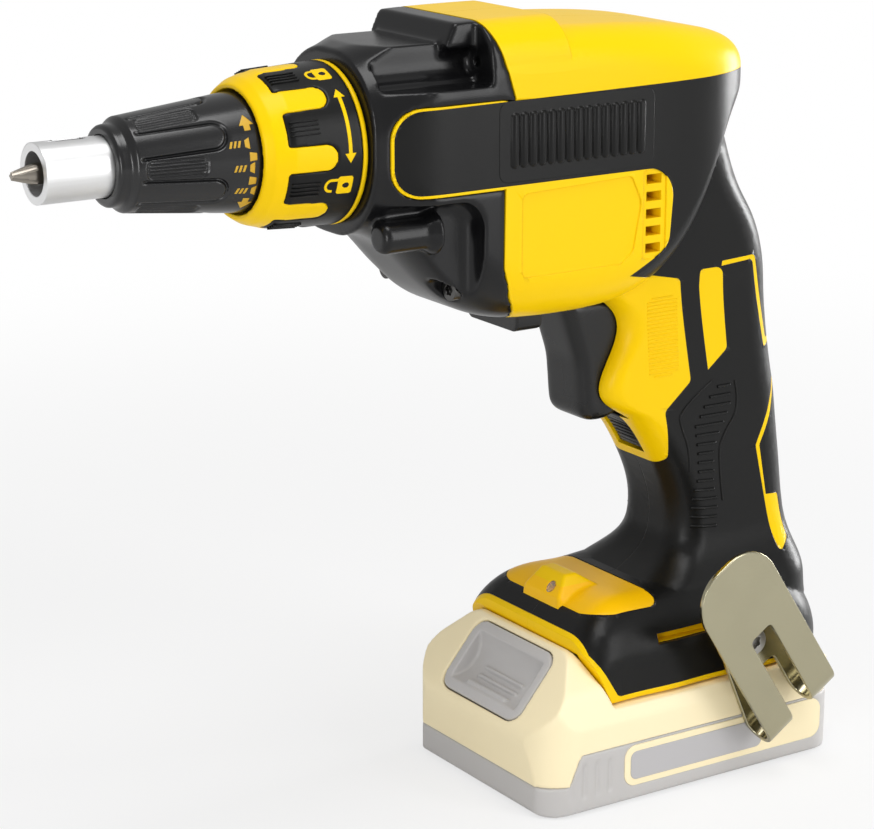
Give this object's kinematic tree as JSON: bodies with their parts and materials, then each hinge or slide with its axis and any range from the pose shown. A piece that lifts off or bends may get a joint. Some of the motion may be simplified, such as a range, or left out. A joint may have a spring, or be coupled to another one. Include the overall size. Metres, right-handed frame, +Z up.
{
  "type": "drywall screwdriver",
  "caption": "Cordless pistol-grip drywall screwdriver with turning depth nose, lock collar, side belt hook and a slide-on pack it stands on.",
  "frame": {"origin": "middle of the pack's flat underside, where the tool stands", "axes": "-X towards the bit, +Z up, -Y the side with the belt hook; the housing splits at Y = 0"},
  "size_m": [0.2621, 0.0874, 0.2378],
  "materials": {
    "shell_yellow": "moulded, soft sheen",
    "rubber_black": "matt overmould, fine grain",
    "case_black": "semi-gloss moulded",
    "inner_black": "moulded",
    "screw_steel": "dark zinc",
    "machined_steel": "ground",
    "bearing_steel": "polished",
    "spring_steel": "drawn wire",
    "tube_steel": "bright satin plate",
    "bit_steel": "browned tool steel",
    "core_iron": "stacked laminations",
    "coil_copper": "enamelled wire",
    "board_green": "lacquered board",
    "lens_clear": "clear",
    "hook_nickel": "pale yellow plate",
    "pack_cream": "moulded, pale",
    "pack_grey": "moulded, pale",
    "label_grey": "bare label panel",
    "cell_blue": "shrink sleeve",
    "contact_brass": "bare"
  },
  "bodies": {
    "tool": {"housing_left": "shell_yellow", "housing_right": "shell_yellow", "grip_left": "rubber_black", "grip_right": "rubber_black", "housing_screws": "screw_steel", "gear_case": "case_black", "gear_case_screws": "screw_steel", "gear_plate": "machined_steel", "gear_bearing": "bearing_steel", "front_bearing": "bearing_steel", "rear_bearing": "bearing_steel", "motor_stator": "core_iron", "motor_coils": "coil_copper", "motor_board": "board_green", "spindle_bearing": "bearing_steel", "switch_body": "inner_black", "trigger_spring": "spring_steel", "control_module": "inner_black", "light_cover": "shell_yellow", "light_lens": "lens_clear", "light_board": "board_green", "belt_hook": "hook_nickel", "belt_hook_screw": "screw_steel", "terminal_block": "inner_black"},
    "rotor": {"rotor_shaft": "machined_steel", "rotor_core": "core_iron", "cooling_fan": "inner_black", "pinion": "machined_steel"},
    "gear": {"drive_gear": "machined_steel"},
    "race": {"spindle_race": "machined_steel"},
    "spindle": {"spindle": "machined_steel", "bit_holder": "machined_steel", "retaining_ring": "spring_steel", "driver_bit": "bit_steel", "clutch_spring": "spring_steel"},
    "nose": {"nose_carrier": "inner_black"},
    "sleeve": {"depth_sleeve": "case_black"},
    "locator": {"depth_locator": "tube_steel"},
    "collar": {"lock_collar": "shell_yellow", "lock_collar_grip": "rubber_black"},
    "trigger": {"trigger": "case_black"},
    "direction": {"direction_button": "case_black"},
    "lock_on": {"lock_button": "case_black"},
    "pack": {"pack_upper_shell": "pack_cream", "pack_lower_shell": "pack_grey", "pack_cells": "cell_blue", "pack_terminals": "contact_brass", "pack_screws": "screw_steel", "pack_labels": "label_grey", "release_spring": "spring_steel"},
    "release": {"pack_release_button": "pack_grey"}
  },
  "joints": [
    {"name": "rotor_spin", "type": "hinge", "parent": "tool", "child": "rotor", "pos_m": [-0.044, 0, 0.182], "axis": [1, 0, 0], "continuous": true},
    {"name": "gear_spin", "type": "hinge", "parent": "tool", "child": "gear", "pos_m": [-0.087, 0, 0.2045], "axis": [1, 0, 0], "continuous": true},
    {"name": "spindle_spin", "type": "hinge", "parent": "tool", "child": "race", "pos_m": [-0.129, 0, 0.2045], "axis": [1, 0, 0], "continuous": true},
    {"name": "spindle_push", "type": "slide", "parent": "race", "child": "spindle", "axis": [1, 0, 0], "range_m": [0, 0.003], "stiffness_N_per_m": 1500, "springref_m": -0.002, "deforming": ["clutch_spring"]},
    {"name": "nose_pull", "type": "slide", "parent": "tool", "child": "nose", "axis": [-1, 0, 0], "range_m": [0, 0.07]},
    {"name": "depth_turn", "type": "hinge", "parent": "nose", "child": "sleeve", "pos_m": [-0.15, 0, 0.2045], "axis": [1, 0, 0], "range_deg": [-300, 300]},
    {"name": "locator_shift", "type": "slide", "parent": "nose", "child": "locator", "axis": [1, 0, 0], "range_m": [-0.0025, 0.0025]},
    {"name": "collar_turn", "type": "hinge", "parent": "tool", "child": "collar", "pos_m": [-0.125, 0, 0.2045], "axis": [1, 0, 0], "range_deg": [0, 45]},
    {"name": "trigger_pull", "type": "slide", "parent": "tool", "child": "trigger", "axis": [1, 0, 0], "range_m": [0, 0.006], "stiffness_N_per_m": 700, "springref_m": -0.004, "deforming": ["trigger_spring"]},
    {"name": "direction_shift", "type": "slide", "parent": "tool", "child": "direction", "axis": [0, 1, 0], "range_m": [-0.003, 0.003]},
    {"name": "lock_press", "type": "slide", "parent": "tool", "child": "lock_on", "axis": [1, 0, 0], "range_m": [0, 0.0025], "stiffness_N_per_m": 400, "springref_m": -0.002},
    {"name": "pack_slide", "type": "slide", "parent": "tool", "child": "pack", "axis": [-1, 0, 0], "range_m": [0, 0.085]},
    {"name": "pack_release", "type": "slide", "parent": "pack", "child": "release", "axis": [0.7705, 0, -0.6374], "range_m": [0, 0.003], "stiffness_N_per_m": 500, "springref_m": -0.002, "deforming": ["release_spring"]}
  ],
  "couplings": [
    {"joint": "gear_spin", "follows": "rotor_spin", "ratio": -0.33333},
    {"joint": "depth_turn", "follows": "locator_shift", "rad_per_m": 2094}
  ]
}
